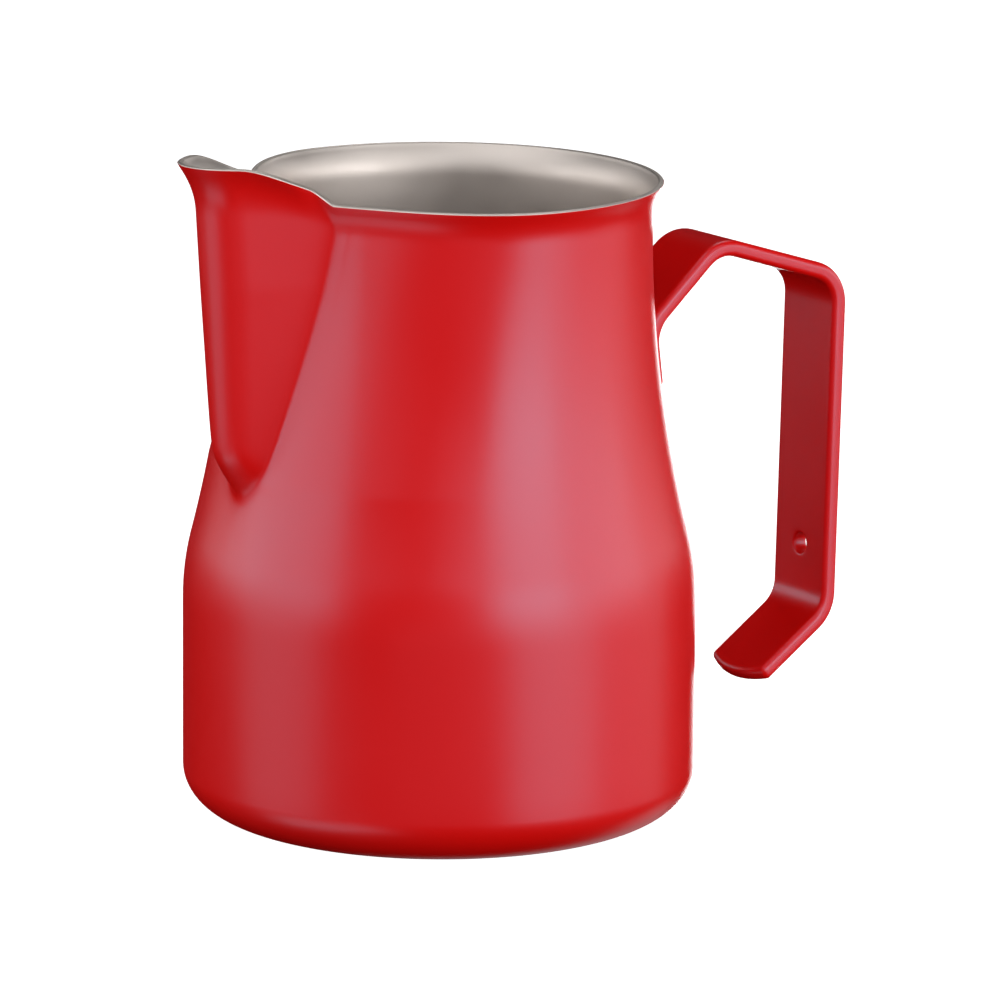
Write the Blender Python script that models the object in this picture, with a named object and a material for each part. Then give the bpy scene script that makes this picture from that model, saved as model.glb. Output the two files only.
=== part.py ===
"""Milk frothing pitcher, 50 cl size: one drawn steel vessel with a pressed spout,
its outer coat, and one bent flat strap as the handle, resistance welded at its top foot.

Metres, +Z up.  The origin is the centre of the flat base on the vessel's axis.  The handle
points to +X, the spout to -X, and XZ is the mirror plane.
"""
import math

import bmesh
import bpy

MM = 0.001

# ---------------------------------------------------------------- driving dimensions
# vessel, turned part of the shape
BELLY_RADIUS = 44.0 * MM          # outer radius of the straight lower wall
NECK_RADIUS = 35.9 * MM           # outer radius of the neck below the lip
RIM_HEIGHT = 110.4 * MM           # height of the lip away from the spout
SHOULDER_START = 37.5 * MM        # where the straight wall ends
NECK_STRAIGHT = 8.4 * MM          # straight neck between its hollow curve and the lip's edge
SHOULDER_SHARE = 0.176            # share of the S-curve taken by the tighter, bulging arc
HEEL_WIDTH = 10.1 * MM            # heel rounding, measured across
HEEL_HEIGHT = 8.2 * MM            # heel rounding, measured up
WALL = 0.8 * MM                   # steel sheet

# lip
LIP_FLARE = 2.1 * MM              # how far the lip turns out
LIP_DEPTH = 5.5 * MM              # height over which it turns out
LIP_EDGE = 0.25 * MM              # rounding of the cut edge
MOUTH_SET_IN = 0.3 * MM           # over the spout the lip follows an oval in plan: how far
                                  # its centre lies inside the neck's radius,
MOUTH_LONG = 15.7 * MM            # its half length towards the tip
MOUTH_WIDE = 11.5 * MM            # and its half width
MOUTH_BLEND = 1.0 * MM            # softness where the oval runs into the round lip
SPOUT_LIP_DEPTH = 8.5 * MM        # the spout turns out over this height

# spout, pressed out of the same sheet
SPOUT_DEPTH = 51.0 * MM           # how far the pressed wedge reaches down from the rim
SPOUT_NOSE = 5.6 * MM             # height over which the blunt lower end comes out
KEEL_OUT = 9.1 * MM               # how far the keel stands out from the neck's radius there
KEEL_LEAN = 0.067                 # outward lean of the keel per unit of height
KEEL_ROUND_LOW = 4.8 * MM         # keel rounding at the bottom of the wedge
KEEL_ROUND_HIGH = 6.5 * MM        # keel rounding at the top
FLANK = math.radians(21.0)        # half angle between the flanks
KEEL_SPAN = 31.0 * MM             # height over which the keel rounding grows
PINCH = 5.0 * MM                  # the pressing pulls the neck in beside the spout
PINCH_DEPTH = 48.0 * MM           # height from the rim down to where that fades out
PINCH_FULL = math.radians(34.0)   # angle from the spout where it is full
PINCH_END = math.radians(88.0)    # angle where it fades out
FOOT_SLOPE = 0.95                 # slope of the blunt lower end of the wedge
FOOT_CROWN = 3.1 * MM             # rounding radius of that end, seen square on
CREASE_BLEND = 1.2 * MM           # softness of the bend between flank and wall
SPOUT_RISE = 6.7 * MM             # height of the pouring tip over the rim
TIP_FLAT = math.radians(10.3)     # the tip is level within this angle
TIP_END = math.radians(23.7)      # the rise of the lip starts here
TIP_FULLNESS = 0.74               # below 1 the rise starts steeper and ends flatter

# coat
COAT = 0.12 * MM
COAT_GAP = 0.03 * MM              # clearance between coat and steel, same facets
COAT_BARE_LIP = 0.6 * MM          # bare strip of steel below the lip's edge
COAT_LOW_ANGLE = math.radians(78) # the coat ends on the heel above the resting face

# handle strap; its points sit out from the neck, down from the rim or up from the base
STRAP_WIDTH = 15.6 * MM
STRAP_THICK = 2.85 * MM
STRAP_EDGE = 0.9 * MM             # rounded long edges
STRAP_BEND = 6.6 * MM             # bend radius at the middle of the strap
END_CROWN = 1.9 * MM              # how far the rounded ends stand out
FOOT_DROP = 39.1 * MM             # rim to the lower end of the foot at its corners
RISE_OUT = 15.3 * MM              # a point on the rising leg: out from the neck
RISE_DROP = 17.4 * MM             # and down from the rim
RISE_ANGLE = math.radians(42.6)
TOP_OUT = 22.6 * MM               # a point on the top leg
TOP_DROP = 17.1 * MM
TOP_ANGLE = math.radians(-17.2)
GRIP_OUT = 43.1 * MM              # a point on the grip
GRIP_DROP = 34.4 * MM
GRIP_ANGLE = math.radians(-91.4)
TAIL_OUT = 34.0 * MM              # a point on the lower leg: out from the neck
TAIL_HEIGHT = 21.1 * MM           # and up from the base
TAIL_ANGLE = math.radians(-144.5)
TAIL_REACH = 28.1 * MM            # free end at its corners, out from the neck
HOLE_OVER_TAIL = 16.7 * MM        # hanging hole in the grip, above that point
HOLE_DIAMETER = 3.6 * MM

# welds between the strap's foot and the wall
FOOT_GAP = 0.8 * MM               # room between wall and foot, filled by the welds
FOOT_CURVE = 0.2                  # the foot takes on this share of the wall's curve
WELD_CLEAR = 0.1 * MM             # clearance on both faces of a weld
WELD_DIAMETER = 4.6 * MM
WELD_PITCH = 8.4 * MM
WELD_OVER_FOOT = 3.9 * MM         # height of the welds over the foot's lower corners
WINDOW_CLEAR = 0.5 * MM           # the coat stops this far from the foot

# facets
SPOUT_SPAN = math.radians(30.0)
SPOUT_COLUMNS = 12
SIDE_COLUMNS = 13
WINDOW_COLUMNS = 2
HOLE_SIDES = 24


# ---------------------------------------------------------------- small helpers
def step(t):
    """Smooth step from 0 to 1."""
    t = min(max(t, 0.0), 1.0)
    return t * t * (3.0 - 2.0 * t)


def soft_max(a, b, k):
    return 0.5 * (a + b + math.sqrt((a - b) ** 2 + k * k))


def soft_min(a, b, k):
    return 0.5 * (a + b - math.sqrt((a - b) ** 2 + k * k))


# ---------------------------------------------------------------- vessel shape
NECK_START = RIM_HEIGHT - NECK_STRAIGHT
SPOUT_FOOT = RIM_HEIGHT - SPOUT_DEPTH
KEEL_HEIGHT = SPOUT_FOOT + SPOUT_NOSE
KEEL_RADIUS = NECK_RADIUS + KEEL_OUT
FOOT_LOW = RIM_HEIGHT - FOOT_DROP
RISE_POINT = (NECK_RADIUS + RISE_OUT, RIM_HEIGHT - RISE_DROP)
TOP_POINT = (NECK_RADIUS + TOP_OUT, RIM_HEIGHT - TOP_DROP)
GRIP_POINT = (NECK_RADIUS + GRIP_OUT, RIM_HEIGHT - GRIP_DROP)
TAIL_POINT = (NECK_RADIUS + TAIL_OUT, TAIL_HEIGHT)
TAIL_END = NECK_RADIUS + TAIL_REACH
HOLE_HEIGHT = TAIL_HEIGHT + HOLE_OVER_TAIL
WELD_HEIGHT = FOOT_LOW + WELD_OVER_FOOT

DROP = BELLY_RADIUS - NECK_RADIUS
RUN = NECK_START - SHOULDER_START
TURN = 2.0 * math.atan2(DROP, RUN)
ARC_SUM = RUN / math.sin(TURN)
ARC_OUT = ARC_SUM * SHOULDER_SHARE
ARC_IN = ARC_SUM - ARC_OUT
ARC_MEET = SHOULDER_START + ARC_OUT * math.sin(TURN)


def turned_radius(z):
    """Outer radius of the vessel without the spout and the lip."""
    if z <= SHOULDER_START:
        return BELLY_RADIUS
    if z <= ARC_MEET:
        h = z - SHOULDER_START
        return BELLY_RADIUS - ARC_OUT + math.sqrt(ARC_OUT ** 2 - h * h)
    if z <= NECK_START:
        h = NECK_START - z
        return NECK_RADIUS + ARC_IN - math.sqrt(ARC_IN ** 2 - h * h)
    return NECK_RADIUS


def pinched_radius(angle, z):
    """The same, pulled in beside the spout."""
    deep = min(max((z - RIM_HEIGHT) / PINCH_DEPTH + 1.0, 0.0), 1.1) ** 1.15
    near = step((PINCH_END - abs(angle)) / (PINCH_END - PINCH_FULL))
    return turned_radius(z) - PINCH * deep * near


def wedge_radius(angle, z):
    """Outline of the pressed wedge in plan: a rounded keel and two straight flanks."""
    a = abs(angle)
    rise = max(z, SPOUT_FOOT) - KEEL_HEIGHT
    keel = KEEL_RADIUS + KEEL_LEAN * rise
    share = min(max(rise / KEEL_SPAN, 0.0), 1.0)
    rounding = KEEL_ROUND_LOW + (KEEL_ROUND_HIGH - KEEL_ROUND_LOW) * share
    centre = keel - rounding
    reach = centre * math.sin(FLANK) + rounding
    turn = math.atan2(rounding * math.cos(FLANK), centre + rounding * math.sin(FLANK))
    if a < turn:
        return centre * math.cos(a) + math.sqrt(rounding ** 2 - (centre * math.sin(a)) ** 2)
    return reach / math.sin(min(FLANK + a, math.pi * 0.5))


def body_radius(angle, z):
    """Outer radius with the spout, before the lip is turned out."""
    base = pinched_radius(angle, z)
    if abs(angle) > 0.95:
        return base
    out = wedge_radius(angle, z) - base
    across = turned_radius(z) * abs(angle)
    end = FOOT_SLOPE * (z - SPOUT_FOOT) - across * across / (2.0 * FOOT_CROWN)
    out = soft_min(out, end, 1.2 * MM)
    bump = soft_max(0.0, out, CREASE_BLEND)
    fade = 1.0 - step((abs(angle) - 0.6) / 0.35)
    return base + bump * fade


def tip_share(angle):
    """1 at the pouring tip, 0 round the rim."""
    return step((TIP_END - abs(angle)) / (TIP_END - TIP_FLAT))


def lip_height(angle):
    return RIM_HEIGHT + SPOUT_RISE * tip_share(angle) ** TIP_FULLNESS


def mouth_radius(angle):
    """The oval mouth of the spout in plan; outside its reach it falls away smoothly."""
    centre = NECK_RADIUS - MOUTH_SET_IN
    along = (math.cos(angle) / MOUTH_LONG) ** 2
    p = along + (math.sin(angle) / MOUTH_WIDE) ** 2
    q = centre * math.cos(angle) / MOUTH_LONG ** 2
    s = (centre / MOUTH_LONG) ** 2 - 1.0
    return (q + math.sqrt(max(q * q - p * s, 0.0))) / p


def lip_flare(angle, below):
    """How far the wall is turned out at a depth below the lip's edge."""
    depth = LIP_DEPTH + (SPOUT_LIP_DEPTH - LIP_DEPTH) * tip_share(angle)
    if below >= depth:
        return 0.0
    wall = body_radius(angle, lip_height(angle))
    flare = LIP_FLARE
    if abs(angle) < math.pi * 0.25:
        flare = soft_max(wall + LIP_FLARE, mouth_radius(angle), MOUTH_BLEND) - wall
    return flare * (1.0 - max(below, 0.0) / depth) ** 2


def outer_radius(angle, z):
    return body_radius(angle, z) + lip_flare(angle, lip_height(angle) - z)


def slant(angle, z):
    """Radial thickness of a sheet of unit thickness at this place."""
    h = 0.4 * MM
    up = (outer_radius(angle, z + h) - outer_radius(angle, z - h)) / (2.0 * h)
    da = 0.01
    side = (outer_radius(angle + da, z) - outer_radius(angle - da, z)) / (2.0 * da)
    side = side / outer_radius(angle, z)
    return min(math.sqrt(1.0 + up * up + side * side), 1.5)


def heel_point(t, inset):
    """Point of the heel rounding; t runs from 0 at the wall to 90 degrees at the base."""
    r = BELLY_RADIUS - HEEL_WIDTH * (1.0 - math.cos(t))
    z = HEEL_HEIGHT * (1.0 - math.sin(t))
    nr = math.cos(t) / HEEL_WIDTH
    nz = -math.sin(t) / HEEL_HEIGHT
    size = math.hypot(nr, nz)
    return r - inset * nr / size, z - inset * nz / size


# ---------------------------------------------------------------- grid of the vessel
WINDOW_HALF = math.asin((0.5 * STRAP_WIDTH + WINDOW_CLEAR) / NECK_RADIUS)
WINDOW_LOW = FOOT_LOW - END_CROWN - WINDOW_CLEAR
WINDOW_HIGH = FOOT_LOW + 9.7 * MM


def column_angles():
    """Angles from the spout direction, mirror symmetric, closer together at the spout."""
    half = []
    for i in range(SPOUT_COLUMNS):
        half.append(SPOUT_SPAN * i / SPOUT_COLUMNS)
    side_end = math.pi - WINDOW_HALF
    for i in range(SIDE_COLUMNS):
        half.append(SPOUT_SPAN + (side_end - SPOUT_SPAN) * i / SIDE_COLUMNS)
    for i in range(WINDOW_COLUMNS):
        half.append(side_end + WINDOW_HALF * i / WINDOW_COLUMNS)
    mirrored = [-a for a in reversed(half[1:])]
    return half + [math.pi] + mirrored


ANGLES = column_angles()
HEEL_STEPS = [math.radians(d) for d in (90.0, 78.0, 58.0, 38.0, 18.0, 0.0)]
MORPH_START = RIM_HEIGHT - 17.0 * MM
LOW_ROWS = [SHOULDER_START * 0.6, SHOULDER_START, 0.5 * (SHOULDER_START + ARC_MEET), ARC_MEET,
            0.5 * (ARC_MEET + SPOUT_FOOT - 1.5 * MM), SPOUT_FOOT - 1.5 * MM,
            SPOUT_FOOT + 0.9 * MM, SPOUT_FOOT + 3.3 * MM, KEEL_HEIGHT + 0.8 * MM, WINDOW_LOW,
            WINDOW_LOW + 4.2 * MM, WINDOW_LOW + 8.4 * MM, WINDOW_HIGH,
            0.5 * (WINDOW_HIGH + MORPH_START), MORPH_START]
LIP_ROWS = [RIM_HEIGHT - 10.9 * MM, RIM_HEIGHT - 5.9 * MM, RIM_HEIGHT - 2.8 * MM]
LIP_LAST = [RIM_HEIGHT - 1.5 * MM, RIM_HEIGHT - COAT_BARE_LIP]


def lifted(z, angle):
    """Rows near the lip follow the height of the lip."""
    if z <= MORPH_START:
        return z
    top = lip_height(angle)
    near = RIM_HEIGHT - z
    if near <= 1.6 * MM:
        return top - near
    share = (z - MORPH_START) / (RIM_HEIGHT - MORPH_START)
    return MORPH_START + share * (top - MORPH_START)


def grid_rows(start_angle):
    """Rows from the base to below the lip's edge, as functions of angle and inset."""
    rows = []
    for t in HEEL_STEPS:
        if t > start_angle + 1e-6:
            continue
        rows.append(("heel", t))
    for z in LOW_ROWS + LIP_ROWS + LIP_LAST:
        rows.append(("wall", z))
    return rows


def grid_point(row, angle, inset):
    kind, value = row
    if kind == "heel":
        r, z = heel_point(value, inset)
    else:
        z = lifted(value, angle)
        r = outer_radius(angle, z) - inset * slant(angle, z)
    return (-r * math.cos(angle), -r * math.sin(angle), z)


def ring(bm, row, inset):
    return [bm.verts.new(grid_point(row, a, inset)) for a in ANGLES]


def skin(bm, low, high, skip=None):
    """Quads between two rings of vertices."""
    count = len(low)
    for i in range(count):
        if skip is not None and skip(i):
            continue
        j = (i + 1) % count
        bm.faces.new((low[i], low[j], high[j], high[i]))


def cap(bm, loop, z):
    centre = bm.verts.new((0.0, 0.0, z))
    count = len(loop)
    for i in range(count):
        bm.faces.new((loop[i], loop[(i + 1) % count], centre))


# ---------------------------------------------------------------- scene helpers
def clear_scene():
    for obj in list(bpy.data.objects):
        bpy.data.objects.remove(obj, do_unlink=True)


def make_material(name, colour, metallic, roughness):
    mat = bpy.data.materials.new(name)
    mat.use_nodes = True
    shader = mat.node_tree.nodes["Principled BSDF"]
    shader.inputs["Base Color"].default_value = (*colour, 1.0)
    shader.inputs["Metallic"].default_value = metallic
    shader.inputs["Roughness"].default_value = roughness
    mat.diffuse_color = (*colour, 1.0)
    return mat


def add_object(name, bm, mat, smooth_angle=35.0):
    bmesh.ops.recalc_face_normals(bm, faces=bm.faces[:])
    mesh = bpy.data.meshes.new(name)
    bm.to_mesh(mesh)
    bm.free()
    mesh.materials.append(mat)
    obj = bpy.data.objects.new(name, mesh)
    bpy.context.scene.collection.objects.link(obj)
    for poly in mesh.polygons:
        poly.use_smooth = True
    mesh.set_sharp_from_angle(angle=math.radians(smooth_angle))
    return obj


# ---------------------------------------------------------------- vessel
def build_body(mat):
    bm = bmesh.new()
    rows = grid_rows(math.radians(90.0))
    outside = [ring(bm, row, 0.0) for row in rows]
    inside = [ring(bm, row, WALL) for row in rows]
    for low, high in zip(outside, outside[1:]):
        skin(bm, low, high)
    for low, high in zip(inside, inside[1:]):
        skin(bm, low, high)
    cap(bm, outside[0], 0.0)
    cap(bm, inside[0], WALL)
    # rounded cut edge of the lip
    levels = ((0.0, LIP_EDGE), (0.5, 0.0), (1.0, LIP_EDGE))
    edge = []
    for share, below in levels:
        loop = []
        for a in ANGLES:
            z = lip_height(a) - below
            r = outer_radius(a, z) - WALL * share * slant(a, lip_height(a) - LIP_EDGE)
            loop.append(bm.verts.new((-r * math.cos(a), -r * math.sin(a), z)))
        edge.append(loop)
    skin(bm, outside[-1], edge[0])
    skin(bm, edge[0], edge[1])
    skin(bm, edge[1], edge[2])
    skin(bm, inside[-1], edge[2])
    return add_object("pitcher_body", bm, mat)


def build_coating(mat):
    """Thin skin on the outside, open where the handle's foot is welded on."""
    bm = bmesh.new()
    rows = grid_rows(COAT_LOW_ANGLE)
    near = [ring(bm, row, -COAT_GAP) for row in rows]
    far = [ring(bm, row, -COAT_GAP - COAT) for row in rows]
    first = SPOUT_COLUMNS + SIDE_COLUMNS
    gap_columns = range(first, first + 2 * WINDOW_COLUMNS)
    low_row = rows.index(("wall", WINDOW_LOW))
    high_row = rows.index(("wall", WINDOW_HIGH))
    for k in range(len(rows) - 1):
        inside_window = low_row <= k < high_row
        skip = (lambda i: i in gap_columns) if inside_window else None
        skin(bm, near[k], near[k + 1], skip)
        skin(bm, far[k], far[k + 1], skip)
    skin(bm, near[0], far[0])
    skin(bm, near[-1], far[-1])
    # walls of the window
    last = first + 2 * WINDOW_COLUMNS
    for i in gap_columns:
        j = i + 1
        for k in (low_row, high_row):
            bm.faces.new((near[k][i], near[k][j], far[k][j], far[k][i]))
    for k in range(low_row, high_row):
        for i in (first, last):
            bm.faces.new((near[k][i], near[k + 1][i], far[k + 1][i], far[k][i]))
    return add_object("body_coating", bm, mat)


# ---------------------------------------------------------------- handle strap
def meet(p, angle_p, q, angle_q):
    """Crossing of two lines in the XZ plane."""
    px, pz = p
    qx, qz = q
    ax, az = math.cos(angle_p), math.sin(angle_p)
    bx, bz = math.cos(angle_q), math.sin(angle_q)
    det = bx * az - ax * bz
    t = (bx * (qz - pz) - bz * (qx - px)) / det
    return px + ax * t, pz + az * t


def foot_centre(z):
    """X of the strap's middle where the foot lies along the wall."""
    return turned_radius(z) + FOOT_GAP + 0.5 * STRAP_THICK


def foot_sag(y, z):
    """How far the foot bends back towards its long edges."""
    wall = turned_radius(z) + FOOT_GAP
    return FOOT_CURVE * (wall - math.sqrt(wall * wall - y * y))


FOOT_MID = FOOT_LOW + 3.5 * MM
FOOT_POINT = (foot_centre(FOOT_MID), FOOT_MID)
FOOT_ANGLE = math.atan2(2.0 * MM, turned_radius(FOOT_MID + MM) - turned_radius(FOOT_MID - MM))


def strap_stations():
    """Points (x, z, heading) along the middle of the strap, foot first."""
    legs = [(FOOT_POINT, FOOT_ANGLE), (RISE_POINT, RISE_ANGLE), (TOP_POINT, TOP_ANGLE),
            (GRIP_POINT, GRIP_ANGLE), (TAIL_POINT, TAIL_ANGLE)]
    corners = [meet(*legs[i], *legs[i + 1]) for i in range(len(legs) - 1)]
    start = (foot_centre(FOOT_LOW), FOOT_LOW)
    stations = [(*start, FOOT_ANGLE)]
    stations.append((*FOOT_POINT, FOOT_ANGLE))
    for i, (cx, cz) in enumerate(corners):
        before = legs[i][1]
        after = legs[i + 1][1]
        turn = after - before
        length = STRAP_BEND * math.tan(abs(turn) * 0.5)
        ox = cx - length * math.cos(before)
        oz = cz - length * math.sin(before)
        # every bend turns clockwise; the centre lies to the right of the heading
        mx = ox + STRAP_BEND * math.sin(before)
        mz = oz - STRAP_BEND * math.cos(before)
        pieces = 6
        for k in range(pieces + 1):
            h = before + turn * k / pieces
            stations.append((mx - STRAP_BEND * math.sin(h), mz + STRAP_BEND * math.cos(h), h))
    run = (TAIL_END - TAIL_POINT[0]) / math.cos(TAIL_ANGLE)
    end = (TAIL_END, TAIL_POINT[1] + run * math.sin(TAIL_ANGLE))
    stations.append((end[0] - 1.5 * MM * math.cos(TAIL_ANGLE),
                     end[1] - 1.5 * MM * math.sin(TAIL_ANGLE), TAIL_ANGLE))
    stations.append((*end, TAIL_ANGLE))
    return stations


def strap_outline():
    """Half of the cross-section: (across, half thickness) pairs over the width."""
    half = 0.5 * STRAP_WIDTH
    thick = 0.5 * STRAP_THICK
    pairs = []
    for d in (0.0, 45.0, 90.0):
        t = math.radians(d)
        pairs.append((-half + STRAP_EDGE * (1.0 - math.cos(t)),
                      thick - STRAP_EDGE * (1.0 - math.sin(t))))
    inner = half - STRAP_EDGE
    pairs += [(-0.5 * inner, thick), (0.0, thick), (0.5 * inner, thick)]
    pairs += [(-y, u) for y, u in reversed(pairs[:3])]
    return pairs


def end_reach(y):
    """The strap's ends are cut to an arc."""
    half = 0.5 * STRAP_WIDTH
    radius = (half * half + END_CROWN ** 2) / (2.0 * END_CROWN)
    return END_CROWN - (radius - math.sqrt(radius * radius - y * y))


def strap_point(station, y, u, reach, hug):
    """A point of the strap: u is measured to the left of the heading."""
    x, z, h = station
    px = x - u * math.sin(h) + reach * math.cos(h)
    pz = z + u * math.cos(h) + reach * math.sin(h)
    return (px - foot_sag(y, min(max(pz, FOOT_LOW - END_CROWN), WINDOW_HIGH)) * hug, y, pz)


def hug_share(z, index):
    """The foot is pressed to the curve of the wall; the rest of the strap is flat."""
    if index > 9:
        return 0.0
    low = FOOT_LOW + 6.0 * MM
    return 1.0 - step((z - low) / (6.0 * MM))


def build_strap(mat):
    stations = strap_stations()
    pairs = strap_outline()
    bm = bmesh.new()
    loops = []
    last = len(stations) - 1
    for n, st in enumerate(stations):
        hug = hug_share(st[1], n)
        loop = []
        for side, seq in ((1.0, pairs), (-1.0, list(reversed(pairs)))):
            for y, u in seq:
                reach = 0.0
                if n == 0:
                    reach = -end_reach(y)
                if n == last:
                    reach = end_reach(y)
                loop.append(bm.verts.new(strap_point(st, y, side * u, reach, hug)))
        loops.append(loop)
    for a, b in zip(loops, loops[1:]):
        skin(bm, a, b)
    count = len(pairs)
    for loop in (loops[0], loops[-1]):
        for i in range(count - 1):
            j = 2 * count - 1 - i
            bm.faces.new((loop[i], loop[i + 1], loop[j - 1], loop[j]))
    strap = add_object("handle_strap", bm, mat, 40.0)

    cutter_bm = bmesh.new()
    bmesh.ops.create_cone(cutter_bm, cap_ends=True, segments=HOLE_SIDES,
                          radius1=0.5 * HOLE_DIAMETER, radius2=0.5 * HOLE_DIAMETER,
                          depth=STRAP_THICK * 4.0)
    cutter = add_object("hole_cutter", cutter_bm, mat)
    grip_x = GRIP_POINT[0] + (HOLE_HEIGHT - GRIP_POINT[1]) / math.tan(GRIP_ANGLE)
    cutter.location = (grip_x, 0.0, HOLE_HEIGHT)
    cutter.rotation_euler = (0.0, -GRIP_ANGLE, 0.0)
    cutter.hide_render = True
    cutter.display_type = "WIRE"
    cut = strap.modifiers.new("hanging_hole", "BOOLEAN")
    cut.operation = "DIFFERENCE"
    cut.solver = "EXACT"
    cut.object = cutter
    return strap


# ---------------------------------------------------------------- welds
def build_weld(name, side, mat):
    """A thin round nugget between the wall and the back of the foot."""
    bm = bmesh.new()
    y0 = side * 0.5 * WELD_PITCH
    faces = []
    for at_foot in (False, True):
        def place(dy, dz):
            y = y0 + dy
            z = WELD_HEIGHT + dz
            if at_foot:
                return (turned_radius(z) + FOOT_GAP - WELD_CLEAR - foot_sag(y, z), y, z)
            r = turned_radius(z) + WELD_CLEAR
            return (math.sqrt(r * r - y * y), y, z)
        centre = bm.verts.new(place(0.0, 0.0))
        loops = []
        for share in (0.5, 1.0):
            r = 0.5 * WELD_DIAMETER * share
            loops.append([bm.verts.new(place(r * math.cos(k * math.pi / 8.0),
                                             r * math.sin(k * math.pi / 8.0)))
                          for k in range(16)])
        for k in range(16):
            bm.faces.new((centre, loops[0][k], loops[0][(k + 1) % 16]))
        skin(bm, loops[0], loops[1])
        faces.append(loops[1])
    skin(bm, faces[0], faces[1])
    return add_object(name, bm, mat)


def main():
    clear_scene()
    steel = make_material("bare_steel", (0.60, 0.58, 0.55), 1.0, 0.35)
    coat = make_material("red_coating", (0.55, 0.025, 0.02), 0.0, 0.42)
    build_body(steel)
    build_coating(coat)
    build_strap(coat)
    # left and right as seen from behind the handle, looking to the spout
    build_weld("weld_nugget_left", -1.0, steel)
    build_weld("weld_nugget_right", 1.0, steel)


main()
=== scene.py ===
"""Looks of a 50 cl milk frothing pitcher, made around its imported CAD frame.

The deep-drawn steel vessel, its powder coat, the bent strap handle and the two welds under the
handle's foot are fine meshes in the frame's own coordinates: metres, +Z up, the spout to -X and
the handle to +X.  Angles round the vessel are measured from the spout.
"""

import math

import bmesh
import bpy
from mathutils import Matrix, Vector


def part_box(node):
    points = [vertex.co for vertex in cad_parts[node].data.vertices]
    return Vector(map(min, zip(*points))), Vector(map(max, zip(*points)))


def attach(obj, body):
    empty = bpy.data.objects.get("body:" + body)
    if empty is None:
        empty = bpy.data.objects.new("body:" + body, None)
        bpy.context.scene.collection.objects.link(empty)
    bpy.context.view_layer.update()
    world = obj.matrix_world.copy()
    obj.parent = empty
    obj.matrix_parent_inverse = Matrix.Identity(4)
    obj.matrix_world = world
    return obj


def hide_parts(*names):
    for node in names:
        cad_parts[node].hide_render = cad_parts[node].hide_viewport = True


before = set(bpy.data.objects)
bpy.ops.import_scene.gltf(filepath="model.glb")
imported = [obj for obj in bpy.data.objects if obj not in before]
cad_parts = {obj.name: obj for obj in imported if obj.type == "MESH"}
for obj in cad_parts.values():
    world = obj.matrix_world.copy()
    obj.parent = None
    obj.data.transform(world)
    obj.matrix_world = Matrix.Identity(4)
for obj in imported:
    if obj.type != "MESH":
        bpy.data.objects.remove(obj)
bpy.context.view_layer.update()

MM = 0.001

# ---------------------------------------------------------------- sizes
STEEL_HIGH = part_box("pitcher_body")[1]
STRAP_LOW, STRAP_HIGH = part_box("handle_strap")

# vessel
SPOUT_RISE = 6.7 * MM                     # pouring tip over the rim
RIM_HEIGHT = STEEL_HIGH.z - SPOUT_RISE
BELLY_RADIUS = STEEL_HIGH.x
NECK_RADIUS = BELLY_RADIUS - 8.1 * MM
SHOULDER_START = 37.5 * MM
NECK_START = RIM_HEIGHT - 8.4 * MM
SHOULDER_SHARE = 0.176                    # share of the S-curve taken by its bulging arc
HEEL_WIDTH = 10.1 * MM
HEEL_HEIGHT = 8.2 * MM
SHEET = 0.8 * MM                          # steel thickness
LIP_FLARE = 2.1 * MM
LIP_DEPTH = 5.5 * MM
LIP_ROUND = 0.3 * MM                      # the cut edge is tumbled round

# spout
SPOUT_FOOT = RIM_HEIGHT - 51.0 * MM       # lower end of the pressed wedge
KEEL_HEIGHT = SPOUT_FOOT + 5.6 * MM
KEEL_RADIUS = NECK_RADIUS + 9.1 * MM
KEEL_LEAN = 0.067
KEEL_ROUND_LOW = 4.8 * MM
KEEL_ROUND_HIGH = 6.5 * MM
KEEL_SPAN = 31.0 * MM
FLANK = math.radians(21.0)
FOOT_SLOPE = 0.95
FOOT_CROWN = 3.1 * MM
CREASE_BLEND = 1.2 * MM
SPOUT_FADE = 0.6                          # radians from the spout where the wedge fades out
SPOUT_FADE_WIDTH = 0.35
SPOUT_END = 0.95
PINCH = 5.0 * MM                          # the neck is drawn in beside the spout
PINCH_DEPTH = 48.0 * MM
PINCH_GROWTH = 1.15                       # above 1 it starts slowly and grows towards the rim
PINCH_MOST = 1.1                          # and stops at this share, 1 being the rim
PINCH_FULL = math.radians(34.0)
PINCH_END = math.radians(88.0)
MOUTH_AT = NECK_RADIUS - 0.3 * MM         # over the spout the lip follows an oval in plan
MOUTH_LONG = 15.7 * MM
MOUTH_WIDE = 11.5 * MM
MOUTH_BLEND = 1.0 * MM
SPOUT_LIP_DEPTH = 8.5 * MM
TIP_FLAT = math.radians(10.3)
TIP_END = math.radians(23.7)
TIP_FULLNESS = 0.74

# powder coat
COAT_GAP = 0.03 * MM
COAT = 0.12 * MM
COAT_BARE_LIP = 0.28 * MM                 # steel left bare below the lip's crest
COAT_LOW_ANGLE = math.radians(78.0)       # the coat ends on the heel above the resting face

# strap handle
STRAP_WIDTH = STRAP_HIGH.y - STRAP_LOW.y
STRAP_THICK = 2.85 * MM
STRAP_EDGE = 1.05 * MM                    # rounding of the long edges and ends
STRAP_BEND = 6.6 * MM
END_CROWN = 1.9 * MM
FOOT_LOW = RIM_HEIGHT - 39.1 * MM
RISE_LEG = (NECK_RADIUS + 15.3 * MM, RIM_HEIGHT - 17.4 * MM, math.radians(42.6))
TOP_LEG = (NECK_RADIUS + 22.6 * MM, RIM_HEIGHT - 17.1 * MM, math.radians(-17.2))
GRIP_LEG = (NECK_RADIUS + 43.1 * MM, RIM_HEIGHT - 34.4 * MM, math.radians(-91.4))
TAIL_LEG = (NECK_RADIUS + 34.0 * MM, 21.1 * MM, math.radians(-144.5))
TAIL_END = NECK_RADIUS + 28.1 * MM
HOLE_HEIGHT = 37.8 * MM
HOLE_RADIUS = 1.8 * MM
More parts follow.
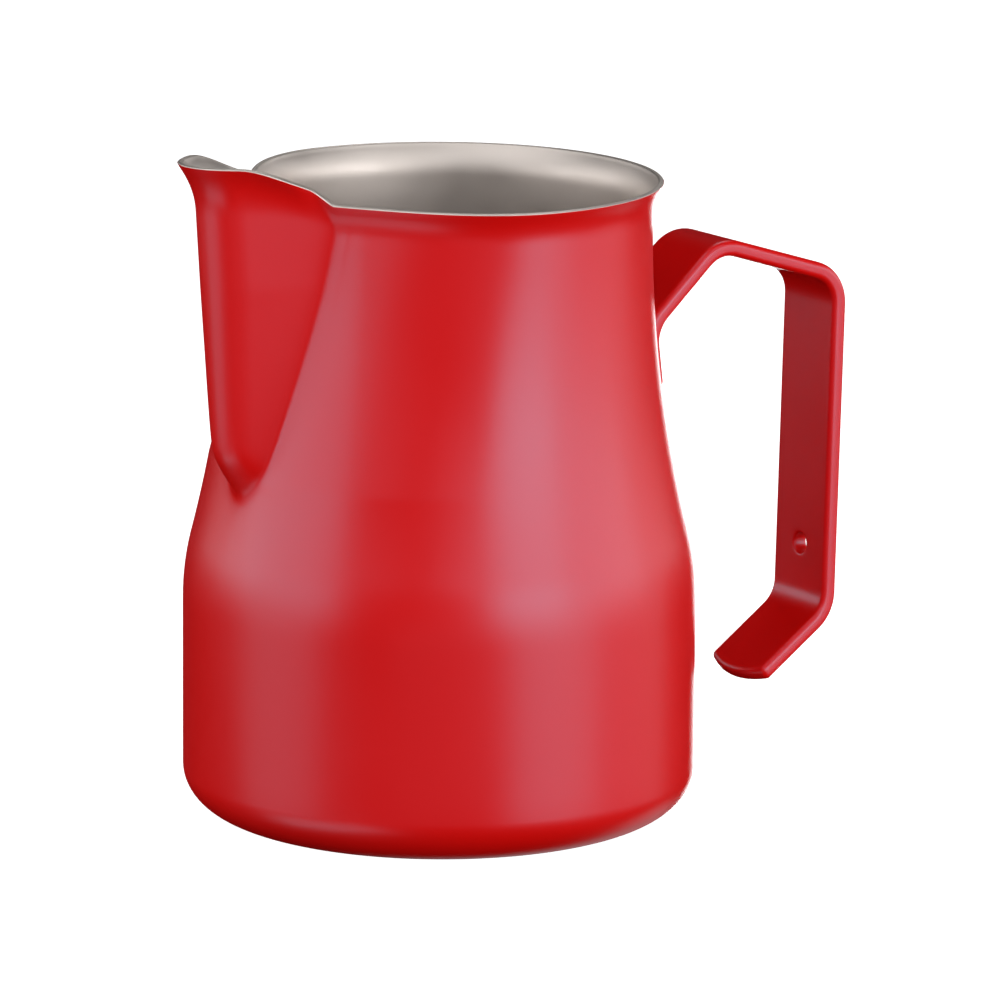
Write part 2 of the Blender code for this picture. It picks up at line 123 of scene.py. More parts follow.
HOLE_EDGE = 0.45 * MM
HOLE_PATCH = 4.0 * MM                     # the mesh round the hole is its own, this far out
END_BLEND = 5.0 * MM                      # the mesh takes up the ends' curve over this length
FOOT_GAP = 0.8 * MM
FOOT_CURVE = 0.2
FOOT_CURVE_HIGH = 6.0 * MM                # full curve up to this height over the foot's corners
FOOT_CURVE_FADE = 6.0 * MM
WELD_HEIGHT = FOOT_LOW + 3.9 * MM
WELD_PITCH = 8.4 * MM
WELD_RADIUS = 2.3 * MM
WELD_FILLET = 0.7 * MM
WELD_CLEAR = 0.05 * MM

# studio, in metres, watts and degrees; azimuth 0 is the front (-Y), positive towards +X
SOFTBOX_AWAY = 1.2
SOFTBOX_AIM = 0.055
SOFTBOX_HEIGHT = 0.40
SOFTBOXES = (                             # name, azimuth, elevation, width, power
    ("wall_right_front", 9.0, 8.0, 0.80, 6.2),
    ("wall_right", 50.0, 8.0, 0.86, 3.9),
    ("wall_right_back", 90.0, 8.0, 0.86, 1.6),
    ("wall_left", -105.0, 8.0, 1.15, 4.6),
    ("wall_left_back", -138.0, 8.0, 0.44, 1.5),
    ("low_right_front", 20.0, -12.0, 0.90, 2.5),
    ("low_right", 65.0, -12.0, 0.84, 0.8),
    ("low_middle", -36.0, -10.0, 0.80, 0.35),
    ("low_left", -108.0, -12.0, 0.84, 1.1),
    ("low_back", 140.0, -12.0, 0.43, 5.2),
    ("high_left", -95.0, 46.0, 0.80, 1.9),
    ("high_left_front", -45.0, 42.0, 0.50, 1.0),
    ("high_right_front", 15.0, 44.0, 0.60, 1.3),
    ("high_back", 132.0, 57.0, 0.50, 1.9),
    ("top", -67.0, 68.0, 0.65, 1.5),
    ("fill_front", -22.0, 26.0, 0.40, 1.3),
    ("fill_left", -70.0, 26.0, 0.75, 0.9),
    ("fill_back", -160.0, 8.0, 0.44, 0.8),
    ("under_left", -90.0, -38.0, 1.00, 1.8),
    ("under_right", 120.0, -38.0, 1.00, 0.7),
)
COAT_GLEAM = (0.0, 0.76, 1.0, 1.0)        # the coat's highlights turn cool and pinkish
FLOOR_HALF = 40.0
CAMERA_LENS = 278.7                       # millimetres, on a 36 mm wide sensor
CAMERA_PLACE = (-0.71752, -1.08405, 0.33373)
CAMERA_HEADING = -33.955
CAMERA_DOWN = 12.129
CAMERA_ROLL = 0.455


# ---------------------------------------------------------------- shape of the vessel
def step(t):
    t = min(max(t, 0.0), 1.0)
    return t * t * (3.0 - 2.0 * t)


def soft_max(a, b, k):
    return 0.5 * (a + b + math.sqrt((a - b) ** 2 + k * k))


def soft_min(a, b, k):
    return 0.5 * (a + b - math.sqrt((a - b) ** 2 + k * k))


S_TURN = 2.0 * math.atan2(BELLY_RADIUS - NECK_RADIUS, NECK_START - SHOULDER_START)
S_RADII = (NECK_START - SHOULDER_START) / math.sin(S_TURN)
S_BULGE = S_RADII * SHOULDER_SHARE
S_HOLLOW = S_RADII - S_BULGE
S_MEET = SHOULDER_START + S_BULGE * math.sin(S_TURN)


def turned_radius(z):
    """The vessel before the spout is pressed: belly, shoulder arc, hollow arc, neck."""
    if z <= SHOULDER_START:
        return BELLY_RADIUS
    if z <= S_MEET:
        h = z - SHOULDER_START
        return BELLY_RADIUS - S_BULGE + math.sqrt(S_BULGE ** 2 - h * h)
    if z <= NECK_START:
        h = NECK_START - z
        return NECK_RADIUS + S_HOLLOW - math.sqrt(S_HOLLOW ** 2 - h * h)
    return NECK_RADIUS


def pinched_radius(angle, z):
    rise = (z - RIM_HEIGHT) / PINCH_DEPTH + 1.0
    deep = min(max(rise, 0.0), PINCH_MOST) ** PINCH_GROWTH
    near = step((PINCH_END - abs(angle)) / (PINCH_END - PINCH_FULL))
    return turned_radius(z) - PINCH * deep * near


def wedge_radius(angle, z):
    """The pressed wedge in plan: a rounded keel between two straight flanks."""
    a = abs(angle)
    rise = max(z, SPOUT_FOOT) - KEEL_HEIGHT
    share = min(max(rise / KEEL_SPAN, 0.0), 1.0)
    rounding = KEEL_ROUND_LOW + (KEEL_ROUND_HIGH - KEEL_ROUND_LOW) * share
    centre = KEEL_RADIUS + KEEL_LEAN * rise - rounding
    turn = math.atan2(rounding * math.cos(FLANK), centre + rounding * math.sin(FLANK))
    if a < turn:
        return centre * math.cos(a) + math.sqrt(rounding ** 2 - (centre * math.sin(a)) ** 2)
    reach = centre * math.sin(FLANK) + rounding
    return reach / math.sin(min(FLANK + a, math.pi * 0.5))


def body_radius(angle, z):
    base = pinched_radius(angle, z)
    if abs(angle) > SPOUT_END:
        return base
    across = turned_radius(z) * abs(angle)
    foot = FOOT_SLOPE * (z - SPOUT_FOOT) - across * across / (2.0 * FOOT_CROWN)
    out = soft_min(wedge_radius(angle, z) - base, foot, CREASE_BLEND)
    fade = 1.0 - step((abs(angle) - SPOUT_FADE) / SPOUT_FADE_WIDTH)
    return base + soft_max(0.0, out, CREASE_BLEND) * fade


def tip_share(angle):
    """1 at the pouring tip, 0 round the rim."""
    return step((TIP_END - abs(angle)) / (TIP_END - TIP_FLAT))


def lip_height(angle):
    return RIM_HEIGHT + SPOUT_RISE * tip_share(angle) ** TIP_FULLNESS


def mouth_radius(angle):
    """The oval mouth of the spout in plan; outside its reach it falls away smoothly."""
    p = (math.cos(angle) / MOUTH_LONG) ** 2 + (math.sin(angle) / MOUTH_WIDE) ** 2
    q = MOUTH_AT * math.cos(angle) / MOUTH_LONG ** 2
    s = (MOUTH_AT / MOUTH_LONG) ** 2 - 1.0
    return (q + math.sqrt(max(q * q - p * s, 0.0))) / p


def lip_flare(angle, below):
    depth = LIP_DEPTH + (SPOUT_LIP_DEPTH - LIP_DEPTH) * tip_share(angle)
    if below >= depth:
        return 0.0
    flare = LIP_FLARE
    if abs(angle) < math.pi * 0.25:
        wall = body_radius(angle, lip_height(angle))
        flare = soft_max(wall + LIP_FLARE, mouth_radius(angle), MOUTH_BLEND) - wall
    return flare * (1.0 - max(below, 0.0) / depth) ** 2


def wall_point(angle, z):
    """A point of the steel's outer face above the heel."""
    r = body_radius(angle, z) + lip_flare(angle, lip_height(angle) - z)
    return Vector((-r * math.cos(angle), -r * math.sin(angle), z))


def wall_normal(angle, z):
    da = 0.004
    dz = 0.15 * MM
    round_way = wall_point(angle + da, z) - wall_point(angle - da, z)
    up_way = wall_point(angle, z + dz) - wall_point(angle, z - dz)
    return up_way.cross(round_way).normalized() * -1.0


def heel_point(angle, t, inset):
    """t turns from 0 at the wall to 90 degrees at the flat base."""
    r = BELLY_RADIUS - HEEL_WIDTH * (1.0 - math.cos(t))
    z = HEEL_HEIGHT * (1.0 - math.sin(t))
    out = Vector((math.cos(t) / HEEL_WIDTH, -math.sin(t) / HEEL_HEIGHT)).normalized()
    r -= inset * out.x
    return Vector((-r * math.cos(angle), -r * math.sin(angle), z - inset * out.y))


# ---------------------------------------------------------------- grid of the vessel
def column_angles():
    """Closest at the spout, mirror symmetric, and round the whole vessel."""
    half = [0.0]
    for end, spacing in ((34.0, 0.7), (62.0, 1.4), (180.0, 2.4)):
        start = half[-1]
        count = round((end - start) / spacing)
        half += [start + (end - start) * (i + 1) / count for i in range(count)]
    angles = [math.radians(a) for a in half]
    return angles + [-a for a in reversed(angles[1:-1])]


def spaced(low, high, spacing):
    count = max(1, round((high - low) / spacing))
    return [low + (high - low) * (i + 1) / count for i in range(count)]


ANGLES = column_angles()
HEEL_TURNS = [math.radians(90.0 - 5.0 * i) for i in range(19)]
MORPH_START = RIM_HEIGHT - 20.0 * MM
PLAIN_ROWS = (spaced(HEEL_HEIGHT, SHOULDER_START, 3.6 * MM)
              + spaced(SHOULDER_START, SPOUT_FOOT - 2.0 * MM, 1.3 * MM)
              + spaced(SPOUT_FOOT - 2.0 * MM, SPOUT_FOOT + 10.0 * MM, 0.5 * MM)
              + spaced(SPOUT_FOOT + 10.0 * MM, MORPH_START, 1.5 * MM))
LIP_SHARES = [share ** 0.8 for share in spaced(0.0, 1.0, 1.0 / 30.0)]


def row_height(row, angle, below):
    """Rows above MORPH_START fan out to follow the lip; the last stops below its crest."""
    kind, value = row
    if kind == "wall":
        return value
    top = lip_height(angle) - below
    return MORPH_START + value * (top - MORPH_START)


def grid_rows(first_turn):
    rows = [("heel", t) for t in HEEL_TURNS if t <= first_turn + 1e-6]
    rows += [("wall", z) for z in PLAIN_ROWS]
    return rows + [("lip", share) for share in LIP_SHARES]


def grid_point(row, angle, inset, below):
    if row[0] == "heel":
        return heel_point(angle, row[1], inset)
    if row[0] == "lip" and inset > 0.0:
        # the lip is cut level, so the inner face of the flared sheet stops a little lower
        top = lip_height(angle) - below
        below -= inset * wall_normal(angle, top).z
    z = row_height(row, angle, below)
    return wall_point(angle, z) - wall_normal(angle, z) * inset


def ring(bm, points):
    return [bm.verts.new(p) for p in points]


def skin(bm, low, high):
    for i in range(len(low)):
        j = (i + 1) % len(low)
        bm.faces.new((low[i], low[j], high[j], high[i]))


def disc(bm, loop, z):
    """Closes a loop with rings that shrink to its centre."""
    outer = loop
    for share in (0.8, 0.55, 0.3):
        inner = ring(bm, [Vector((v.co.x * share, v.co.y * share, z)) for v in loop])
        skin(bm, outer, inner)
        outer = inner
    centre = bm.verts.new((0.0, 0.0, z))
    for i in range(len(outer)):
        bm.faces.new((outer[i], outer[(i + 1) % len(outer)], centre))


# ---------------------------------------------------------------- materials
def linear(hex_colour):
    """sRGB hex to the renderer's linear colour."""
    out = []
    for i in (0, 2, 4):
        c = int(hex_colour[i:i + 2], 16) / 255.0
        out.append(c / 12.92 if c <= 0.04045 else ((c + 0.055) / 1.055) ** 2.4)
    return (*out, 1.0)


def add_node(tree, kind, settings=None, links=None):
    """Adds a node; settings name properties or sockets, links join sockets to outputs."""
    node = tree.nodes.new(kind)
    for name, value in (settings or {}).items():
        if isinstance(name, int) or name in node.inputs:
            node.inputs[name].default_value = value
        else:
            setattr(node, name, value)
    for name, source in (links or {}).items():
        tree.links.new(source, node.inputs[name])
    return node


def new_material(name):
    mat = bpy.data.materials.new(name)
    mat.use_nodes = True
    mat.node_tree.nodes.clear()
    return mat, mat.node_tree


def powder_coat():
    """Polyester powder coat, sprayed and baked on steel: an even satin red with a faint
    orange peel about 1.2 mm across and a much finer grain that blurs its highlights."""
    mat, tree = new_material("powder_coat_satin_red")
    place = add_node(tree, "ShaderNodeTexCoord").outputs["Object"]
    peel = add_node(tree, "ShaderNodeTexNoise",
                    {"Scale": 1.0 / (1.2 * MM), "Detail": 1.5, "Roughness": 0.45},
                    {"Vector": place})
    grain = add_node(tree, "ShaderNodeTexNoise",
                     {"Scale": 1.0 / (0.3 * MM), "Detail": 2.0, "Roughness": 0.6},
                     {"Vector": place})
    cloud = add_node(tree, "ShaderNodeTexNoise",
                     {"Scale": 1.0 / (28.0 * MM), "Detail": 3.0, "Roughness": 0.5},
                     {"Vector": place})
    colour = add_node(tree, "ShaderNodeMix",
                      {"data_type": "RGBA", 6: linear("D50804"), 7: linear("DA0B06")},
                      {0: cloud.outputs["Fac"]})
    rough = add_node(tree, "ShaderNodeMapRange",
                     {"From Min": 0.3, "From Max": 0.7, "To Min": 0.32, "To Max": 0.36},
                     {"Value": cloud.outputs["Fac"]})
    coarse = add_node(tree, "ShaderNodeBump", {"Strength": 0.10, "Distance": 0.02 * MM},
                      {"Height": peel.outputs["Fac"]})
    fine = add_node(tree, "ShaderNodeBump", {"Strength": 0.06, "Distance": 0.01 * MM},
                    {"Height": grain.outputs["Fac"], "Normal": coarse.outputs["Normal"]})
    shader = add_node(tree, "ShaderNodeBsdfPrincipled",
                      {"IOR": 1.5, "Metallic": 0.0, "Specular IOR Level": 0.68,
                       "Specular Tint": COAT_GLEAM},
                      {"Base Color": colour.outputs[2], "Roughness": rough.outputs[0],
                       "Normal": fine.outputs["Normal"]})
    add_node(tree, "ShaderNodeOutputMaterial", {}, {"Surface": shader.outputs["BSDF"]})
    return mat


def satin_steel():
    """Stainless steel sheet, deep drawn and then satin finished on a turning vessel: warm
    grey, with fine scratches that run round the axis and a light uneven bloom."""
    mat, tree = new_material("stainless_satin_drawn")
    place = add_node(tree, "ShaderNodeTexCoord").outputs["Object"]
    axes = add_node(tree, "ShaderNodeSeparateXYZ", {}, {"Vector": place})
    angle = add_node(tree, "ShaderNodeMath", {"operation": "ARCTAN2"},
                     {0: axes.outputs["Y"], 1: axes.outputs["X"]})
    flat = add_node(tree, "ShaderNodeCombineXYZ", {},
                    {"X": axes.outputs["X"], "Y": axes.outputs["Y"]})
    radius = add_node(tree, "ShaderNodeVectorMath", {"operation": "LENGTH"},
                      {0: flat.outputs["Vector"]})
    # scratches 0.25 mm apart and some 12 mm long round the axis
    along = add_node(tree, "ShaderNodeMath", {"operation": "MULTIPLY", 1: 3.0},
                     {0: angle.outputs[0]})
    across = add_node(tree, "ShaderNodeMath", {"operation": "MULTIPLY", 1: 1.0 / (0.25 * MM)},
                      {0: axes.outputs["Z"]})
    inward = add_node(tree, "ShaderNodeMath", {"operation": "MULTIPLY", 1: 1.0 / (0.25 * MM)},
                      {0: radius.outputs["Value"]})
    turned = add_node(tree, "ShaderNodeCombineXYZ", {},
                      {"X": along.outputs[0], "Y": across.outputs[0], "Z": inward.outputs[0]})
    scratch = add_node(tree, "ShaderNodeTexNoise",
                       {"Scale": 1.0, "Detail": 3.0, "Roughness": 0.65},
                       {"Vector": turned.outputs["Vector"]})
    bloom = add_node(tree, "ShaderNodeTexNoise",
                     {"Scale": 1.0 / (9.0 * MM), "Detail": 4.0, "Roughness": 0.6},
                     {"Vector": place})
    speck = add_node(tree, "ShaderNodeTexNoise",
                     {"Scale": 1.0 / (0.5 * MM), "Detail": 2.0, "Roughness": 0.6},
                     {"Vector": place})
    colour = add_node(tree, "ShaderNodeMix",
                      {"data_type": "RGBA", 6: linear("D8CFC9"), 7: linear("E2D9D2")},
                      {0: bloom.outputs["Fac"]})
    rough = add_node(tree, "ShaderNodeMapRange",
                     {"From Min": 0.3, "From Max": 0.7, "To Min": 0.46, "To Max": 0.54},
                     {"Value": bloom.outputs["Fac"]})
    lines = add_node(tree, "ShaderNodeBump", {"Strength": 0.10, "Distance": 0.02 * MM},
                     {"Height": scratch.outputs["Fac"]})
    specks = add_node(tree, "ShaderNodeBump", {"Strength": 0.10, "Distance": 0.02 * MM},
                      {"Height": speck.outputs["Fac"], "Normal": lines.outputs["Normal"]})
    shader = add_node(tree, "ShaderNodeBsdfPrincipled", {"Metallic": 1.0},
                      {"Base Color": colour.outputs[2], "Roughness": rough.outputs[0],
                       "Normal": specks.outputs["Normal"]})
    add_node(tree, "ShaderNodeOutputMaterial", {}, {"Surface": shader.outputs["BSDF"]})
    return mat


# ---------------------------------------------------------------- pieces
def new_piece(name, bm, mat, node, sharp=40.0):
    """Turns a closed mesh into a piece that stands for a CAD node on the one fixed body."""
    bmesh.ops.recalc_face_normals(bm, faces=bm.faces[:])
    mesh = bpy.data.meshes.new(name)
    bm.to_mesh(mesh)
    bm.free()
    mesh.materials.append(mat)
    mesh.shade_smooth()
    mesh.set_sharp_from_angle(angle=math.radians(sharp))
    piece = bpy.data.objects.new(name, mesh)
    bpy.context.scene.collection.objects.link(piece)
    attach(piece, "root")
    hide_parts(node)
    return piece


def drawn_vessel(mat):
    """The steel sheet: outside, inside and the rounded edge of the lip."""
    bm = bmesh.new()
    rows = grid_rows(math.radians(90.0))
    outside = [ring(bm, [grid_point(row, a, 0.0, LIP_ROUND) for a in ANGLES]) for row in rows]
    inside = [ring(bm, [grid_point(row, a, SHEET, LIP_ROUND) for a in ANGLES]) for row in rows]
    for loops in (outside, inside):
        for low, high in zip(loops, loops[1:]):
            skin(bm, low, high)
    disc(bm, outside[0], 0.0)
    disc(bm, inside[0], SHEET)
    last = outside[-1]
    for k in range(1, 8):
        turn = math.pi * k / 8
        points = []
        for out, into in zip(outside[-1], inside[-1]):
            middle = (out.co + into.co) * 0.5
            half = (out.co - into.co) * 0.5
            points.append(middle + half * math.cos(turn)
                          + Vector((0.0, 0.0, LIP_ROUND * math.sin(turn))))
        loop = ring(bm, points)
        skin(bm, last, loop)
        last = loop
    skin(bm, last, inside[-1])
    return new_piece("drawn_vessel", bm, mat, "pitcher_body")


def coat_shell(mat):
    """The coat over the outside, thinned out at the lip and on the heel."""
    bm = bmesh.new()
    rows = grid_rows(COAT_LOW_ANGLE)
    near = []
    far = []
    last = len(rows) - 1
    for k, row in enumerate(rows):
        # the first and last rows are where the sprayed edge feathers out
        build = 0.25 if k in (0, last) else 1.0
        out = COAT_GAP + COAT * build
        near.append(ring(bm, [grid_point(row, a, -COAT_GAP, COAT_BARE_LIP) for a in ANGLES]))
        far.append(ring(bm, [grid_point(row, a, -out, COAT_BARE_LIP) for a in ANGLES]))
    for loops in (near, far):
        for low, high in zip(loops, loops[1:]):
            skin(bm, low, high)
    skin(bm, near[0], far[0])
    skin(bm, near[-1], far[-1])
    return new_piece("powder_coat", bm, mat, "body_coating")


# ---------------------------------------------------------------- strap handle
def meet(p, q):
    """Crossing of two legs, each (x, z, heading)."""
    ax, az = math.cos(p[2]), math.sin(p[2])
    bx, bz = math.cos(q[2]), math.sin(q[2])
    t = (bx * (q[1] - p[1]) - bz * (q[0] - p[0])) / (bx * az - ax * bz)
    return p[0] + ax * t, p[1] + az * t


def foot_sag(y, z):
    """How far the foot bends back towards its long edges."""
    wall = turned_radius(z) + FOOT_GAP
    return FOOT_CURVE * (wall - math.sqrt(wall * wall - y * y))


def strap_route():
    """Straight runs and bends along the middle of the strap, as (length, x, z, heading, bend)."""
    mid = FOOT_LOW + 3.5 * MM
    centre = FOOT_GAP + 0.5 * STRAP_THICK
    lean = turned_radius(mid + MM) - turned_radius(mid - MM)
    foot = (turned_radius(mid) + centre, mid, math.atan2(2.0 * MM, lean))
    legs = [foot, RISE_LEG, TOP_LEG, GRIP_LEG, TAIL_LEG]
    x, z = turned_radius(FOOT_LOW) + centre, FOOT_LOW
    route = []
    for before, after in zip(legs, legs[1:]):
        cx, cz = meet(before, after)
        turn = before[2] - after[2]
        cut = STRAP_BEND * math.tan(turn * 0.5)
        bend_x = cx - cut * math.cos(before[2])
        bend_z = cz - cut * math.sin(before[2])
        route.append((math.hypot(bend_x - x, bend_z - z), x, z, before[2], 0.0))
        route.append((STRAP_BEND * turn, bend_x, bend_z, before[2], -1.0 / STRAP_BEND))
        x = cx + cut * math.cos(after[2])
        z = cz + cut * math.sin(after[2])
    heading = TAIL_LEG[2]
    route.append(((TAIL_END - x) / math.cos(heading), x, z, heading, 0.0))
    return route


STRAP_ROUTE = strap_route()
STRAP_LENGTH = sum(run[0] for run in STRAP_ROUTE)


def along_strap(s):
    """(x, z, heading) at a distance s from the foot's corners."""
    for n, (length, x, z, heading, bend) in enumerate(STRAP_ROUTE):
        if s <= length or n == len(STRAP_ROUTE) - 1:
            break
        s -= length
    if bend == 0.0:
        return x + s * math.cos(heading), z + s * math.sin(heading), heading
    turned = heading + s * bend
    x += (math.sin(turned) - math.sin(heading)) / bend
    z -= (math.cos(turned) - math.cos(heading)) / bend
    return x, z, turned


def strap_place(s, y, u):
    """A point of the flat blank, s along, y across and u up, put where the bent strap has it."""
    x, z, heading = along_strap(s)
    px = x - u * math.sin(heading)
    pz = z + u * math.cos(heading)
    hug = 1.0 - step((z - FOOT_LOW - FOOT_CURVE_HIGH) / FOOT_CURVE_FADE)
    if s > 0.25 * STRAP_LENGTH:
        hug = 0.0
    return Vector((px - hug * foot_sag(y, z), y, pz))


def hole_distance():
    """Distance along the strap to the hanging hole."""
    low, high = 0.5 * STRAP_LENGTH, STRAP_LENGTH
    for _ in range(40):
        middle = 0.5 * (low + high)
        if along_strap(middle)[1] > HOLE_HEIGHT:
            low = middle
        else:
            high = middle
    return low


def strap_handle(mat):
    """A blank with rounded ends, rounded edges and a punched hole, bent in four places."""
    bm = bmesh.new()
    half_width = 0.5 * STRAP_WIDTH
    half_thick = 0.5 * STRAP_THICK
    flat_half = half_width - STRAP_EDGE
    end_radius = (half_width ** 2 + END_CROWN ** 2) / (2.0 * END_CROWN)
    end_inner = end_radius - STRAP_EDGE
    end_centre = END_CROWN - end_radius
    rows = 170
    columns = 14
    hole_at = hole_distance()
    pitch = STRAP_LENGTH / rows
    hole_rows = (round((hole_at - HOLE_PATCH) / pitch), round((hole_at + HOLE_PATCH) / pitch))
    hole_columns = (3, columns - 3)

    def blank_point(i, j):
        s = STRAP_LENGTH * i / rows
        y = flat_half * (2.0 * j / columns - 1.0)
        reach = end_centre + math.sqrt(end_inner ** 2 - y * y)
        at_foot = step(1.0 - s / END_BLEND)
        at_tail = step(1.0 - (STRAP_LENGTH - s) / END_BLEND)
        return s + reach * (at_tail - at_foot), y

    def ring_turns(low, high, count):
        return [low + (high - low) * k / count for k in range(1, count)]

    faces = []
    for side in (1.0, -1.0):
        grid = []
        for i in range(rows + 1):
            line = []
            for j in range(columns + 1):
                s, y = blank_point(i, j)
                inside_hole = (hole_rows[0] < i < hole_rows[1]
                               and hole_columns[0] < j < hole_columns[1])
                line.append(None if inside_hole
                            else bm.verts.new(strap_place(s, y, side * half_thick)))
            grid.append(line)
        for i in range(rows):
            for j in range(columns):
                if (hole_rows[0] <= i < hole_rows[1]
                        and hole_columns[0] <= j < hole_columns[1]):
                    continue
                bm.faces.new((grid[i][j], grid[i][j + 1], grid[i + 1][j + 1], grid[i + 1][j]))
        faces.append(grid)

    # outline of the flat faces, with the direction that the rounded edge turns out to
    outline = []
    for i in range(rows + 1):
        outline.append((i, columns, 0.0, 1.0))
    corner_y = flat_half / end_inner
    corner_s = math.sqrt(1.0 - corner_y ** 2)
    corner_turn = math.atan2(corner_s, corner_y)
    for t in ring_turns(0.0, corner_turn, 5):
        outline.append((rows, columns, math.sin(t), math.cos(t)))
    for j in range(columns, -1, -1):
        y = blank_point(rows, j)[1] / end_inner
        outline.append((rows, j, math.sqrt(1.0 - y * y), y))
    for t in ring_turns(corner_turn, 0.0, 5):
        outline.append((rows, 0, math.sin(t), -math.cos(t)))
    for i in range(rows, -1, -1):
        outline.append((i, 0, 0.0, -1.0))
    for t in ring_turns(0.0, corner_turn, 5):
        outline.append((0, 0, -math.sin(t), -math.cos(t)))
    for j in range(columns + 1):
        y = blank_point(0, j)[1] / end_inner
        outline.append((0, j, -math.sqrt(1.0 - y * y), y))
    for t in ring_turns(corner_turn, 0.0, 5):
        outline.append((0, columns, -math.sin(t), math.cos(t)))

    edge_turns = [math.radians(75.0 - 15.0 * k) for k in range(6)]
    bands = []
    for i, j, out_s, out_y in outline:
        s, y = blank_point(i, j)
        band = [faces[0][i][j]]
        for side, turns in ((1.0, edge_turns), (-1.0, [-t for t in reversed(edge_turns)])):
            for t in turns:
                out = STRAP_EDGE * math.cos(t)
                u = side * (half_thick - STRAP_EDGE) + STRAP_EDGE * math.sin(t)
                band.append(bm.verts.new(strap_place(s + out * out_s, y + out * out_y, u)))
        band.append(faces[1][i][j])
        bands.append(band)
    join_bands(bm, bands)

    # hole: rings of faces from the square gap in the grid to the rounded edge of the punch
    low_i, high_i = hole_rows
    low_j, high_j = hole_columns
    square = [(low_i, j) for j in range(low_j, high_j)]
    square += [(i, high_j) for i in range(low_i, high_i)]
    square += [(high_i, j) for j in range(high_j, low_j, -1)]
    square += [(i, low_j) for i in range(high_i, low_i, -1)]
    bore = []
    for i, j in square:
        s, y = blank_point(i, j)
        ds, dy = s - hole_at, y
        far = math.hypot(ds, dy)
        ds /= far
        dy /= far
        mouth = HOLE_RADIUS + HOLE_EDGE
        band = [faces[0][i][j]]
        for share in (0.35, 0.7):
            r = far + (mouth - far) * share
            band.append(bm.verts.new(strap_place(hole_at + ds * r, dy * r, half_thick)))
        for side in (1.0, -1.0):
            for k in range(6):
                t = math.radians(90.0 - 18.0 * k) if side > 0 else math.radians(-18.0 * k)
                r = mouth - HOLE_EDGE * math.cos(t)
                u = side * (half_thick - HOLE_EDGE) + HOLE_EDGE * math.sin(t)
                band.append(bm.verts.new(strap_place(hole_at + ds * r, dy * r, u)))
        for share in (0.7, 0.35):
            r = far + (mouth - far) * share
            band.append(bm.verts.new(strap_place(hole_at + ds * r, dy * r, -half_thick)))
        band.append(faces[1][i][j])
        bore.append(band)
    join_bands(bm, bore)
    return new_piece("strap_handle", bm, mat, "handle_strap", 60.0)


def join_bands(bm, bands):
    """Faces between neighbouring strips of vertices, round a closed loop of strips."""
    for a, b in zip(bands, bands[1:] + bands[:1]):
        for k in range(len(a) - 1):
            corners = []
            for v in (a[k], b[k], b[k + 1], a[k + 1]):
                if v not in corners:
                    corners.append(v)
            if len(corners) > 2:
                bm.faces.new(corners)


# ---------------------------------------------------------------- welds under the foot
def foot_weld(name, node, side, mat):
    """A weld nugget between wall and foot that swells into a small fillet at both."""
    bm = bmesh.new()
    middle_y = side * 0.5 * WELD_PITCH
    segments = 32
    levels = 8
    loops = []

    def weld_point(share, radius, turn):
        y = middle_y + radius * math.cos(turn)
        z = WELD_HEIGHT + radius * math.sin(turn)
        wall = math.sqrt((turned_radius(z) + WELD_CLEAR) ** 2 - y * y)
        foot = turned_radius(z) + FOOT_GAP + WELD_CLEAR - foot_sag(y, z)
        return Vector((wall + (foot - wall) * share, y, z))

    for k in range(levels + 1):
        share = k / levels
        swell = WELD_FILLET * abs(2.0 * share - 1.0) ** 2.5
        radius = WELD_RADIUS + swell
        loops.append(ring(bm, [weld_point(share, radius, 2.0 * math.pi * n / segments)
                               for n in range(segments)]))
    for low, high in zip(loops, loops[1:]):
        skin(bm, low, high)
    for share, loop in ((0.0, loops[0]), (1.0, loops[-1])):
        centre = bm.verts.new(weld_point(share, 0.0, 0.0))
        for n in range(segments):
            bm.faces.new((loop[n], loop[(n + 1) % segments], centre))
    return new_piece(name, bm, mat, node)


# ---------------------------------------------------------------- studio
def studio_floor():
    """A white sweep: a plain plane under the pitcher that glows softly, so it stays even and
    throws no colour back at the pitcher."""
    mesh = bpy.data.meshes.new("studio_floor")
    bm = bmesh.new()
    corners = ((-1.0, -1.0), (1.0, -1.0), (1.0, 1.0), (-1.0, 1.0))
    bm.faces.new([bm.verts.new((x * FLOOR_HALF, y * FLOOR_HALF, 0.0)) for x, y in corners])
    bm.to_mesh(mesh)
    bm.free()
    floor = bpy.data.objects.new("studio_floor", mesh)
    bpy.context.scene.collection.objects.link(floor)
    mat, tree = new_material("white_paper")
    shader = add_node(tree, "ShaderNodeBsdfPrincipled",
                      {"Base Color": linear("F4F4F4"), "Roughness": 0.9,
                       "Specular IOR Level": 0.0, "Emission Color": linear("FFFFFF"),
                       "Emission Strength": 1.0})
    add_node(tree, "ShaderNodeOutputMaterial", {}, {"Surface": shader.outputs["BSDF"]})
    mesh.materials.append(mat)
    floor.visible_diffuse = False
    floor.visible_glossy = False
    floor.visible_shadow = False
    return floor


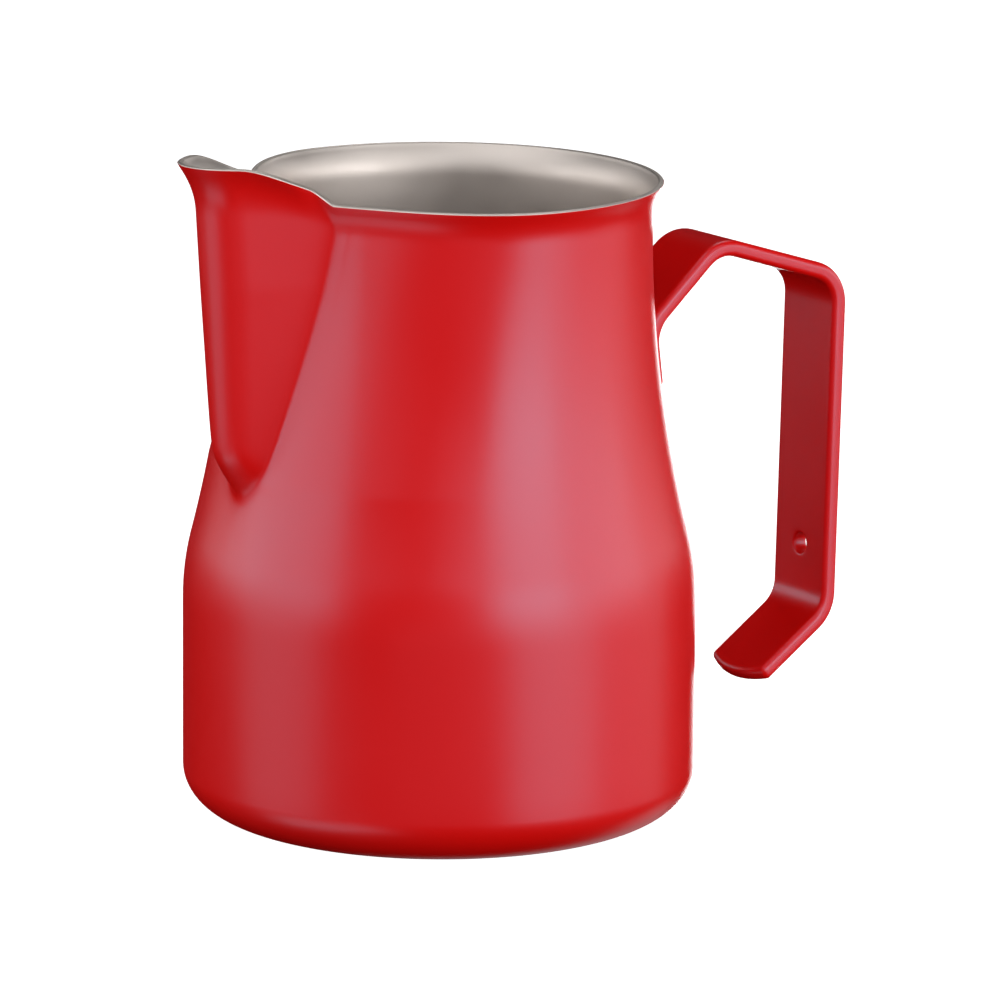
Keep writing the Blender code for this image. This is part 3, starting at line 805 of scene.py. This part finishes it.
def softbox(name, azimuth, elevation, width, power):
    """An area lamp aimed at the pitcher's middle; azimuth and elevation say where it stands."""
    lamp = bpy.data.lights.new(name, "AREA")
    lamp.shape = "RECTANGLE"
    lamp.size = width
    lamp.size_y = SOFTBOX_HEIGHT
    lamp.energy = power
    holder = bpy.data.objects.new(name, lamp)
    bpy.context.scene.collection.objects.link(holder)
    a = math.radians(azimuth)
    e = math.radians(elevation)
    back = Vector((math.sin(a) * math.cos(e), -math.cos(a) * math.cos(e), math.sin(e)))
    holder.location = Vector((0.0, 0.0, SOFTBOX_AIM)) + back * SOFTBOX_AWAY
    holder.rotation_mode = "QUATERNION"
    holder.rotation_quaternion = (-back).to_track_quat("-Z", "Y")
    holder.visible_camera = False
    return holder


def studio_lights():
    """Soft walls of light left and right of the camera and a dark gap behind it, which leaves
    a deep red band down the middle of the pitcher; weaker cards above, behind and below."""
    world = bpy.data.worlds.new("studio_air")
    world.use_nodes = True
    back = world.node_tree.nodes["Background"]
    back.inputs["Color"].default_value = linear("FFFFFF")
    back.inputs["Strength"].default_value = 1.0
    world.cycles_visibility.diffuse = False
    world.cycles_visibility.glossy = False
    bpy.context.scene.world = world
    for name, azimuth, elevation, width, power in SOFTBOXES:
        softbox(name, azimuth, elevation, width, power)


def studio_camera():
    """A long lens, a little above the rim, in front and to the left of the handle."""
    data = bpy.data.cameras.new("studio_camera")
    data.lens = CAMERA_LENS
    data.sensor_width = 36.0
    data.clip_start = 0.1
    data.clip_end = 20.0
    camera = bpy.data.objects.new("studio_camera", data)
    bpy.context.scene.collection.objects.link(camera)
    heading = Matrix.Rotation(math.radians(CAMERA_HEADING), 4, "Z")
    tilt = Matrix.Rotation(math.radians(90.0 - CAMERA_DOWN), 4, "X")
    roll = Matrix.Rotation(math.radians(CAMERA_ROLL), 4, "Z")
    place = Matrix.Translation(CAMERA_PLACE)
    camera.matrix_world = place @ heading @ tilt @ roll
    bpy.context.scene.camera = camera


def main():
    coat = powder_coat()
    steel = satin_steel()
    drawn_vessel(steel)
    coat_shell(coat)
    strap_handle(coat)
    foot_weld("foot_weld_left", "weld_nugget_left", -1.0, coat)
    foot_weld("foot_weld_right", "weld_nugget_right", 1.0, coat)
    studio_floor()
    studio_lights()
    studio_camera()
    bpy.context.scene.view_settings.view_transform = "Standard"


main()
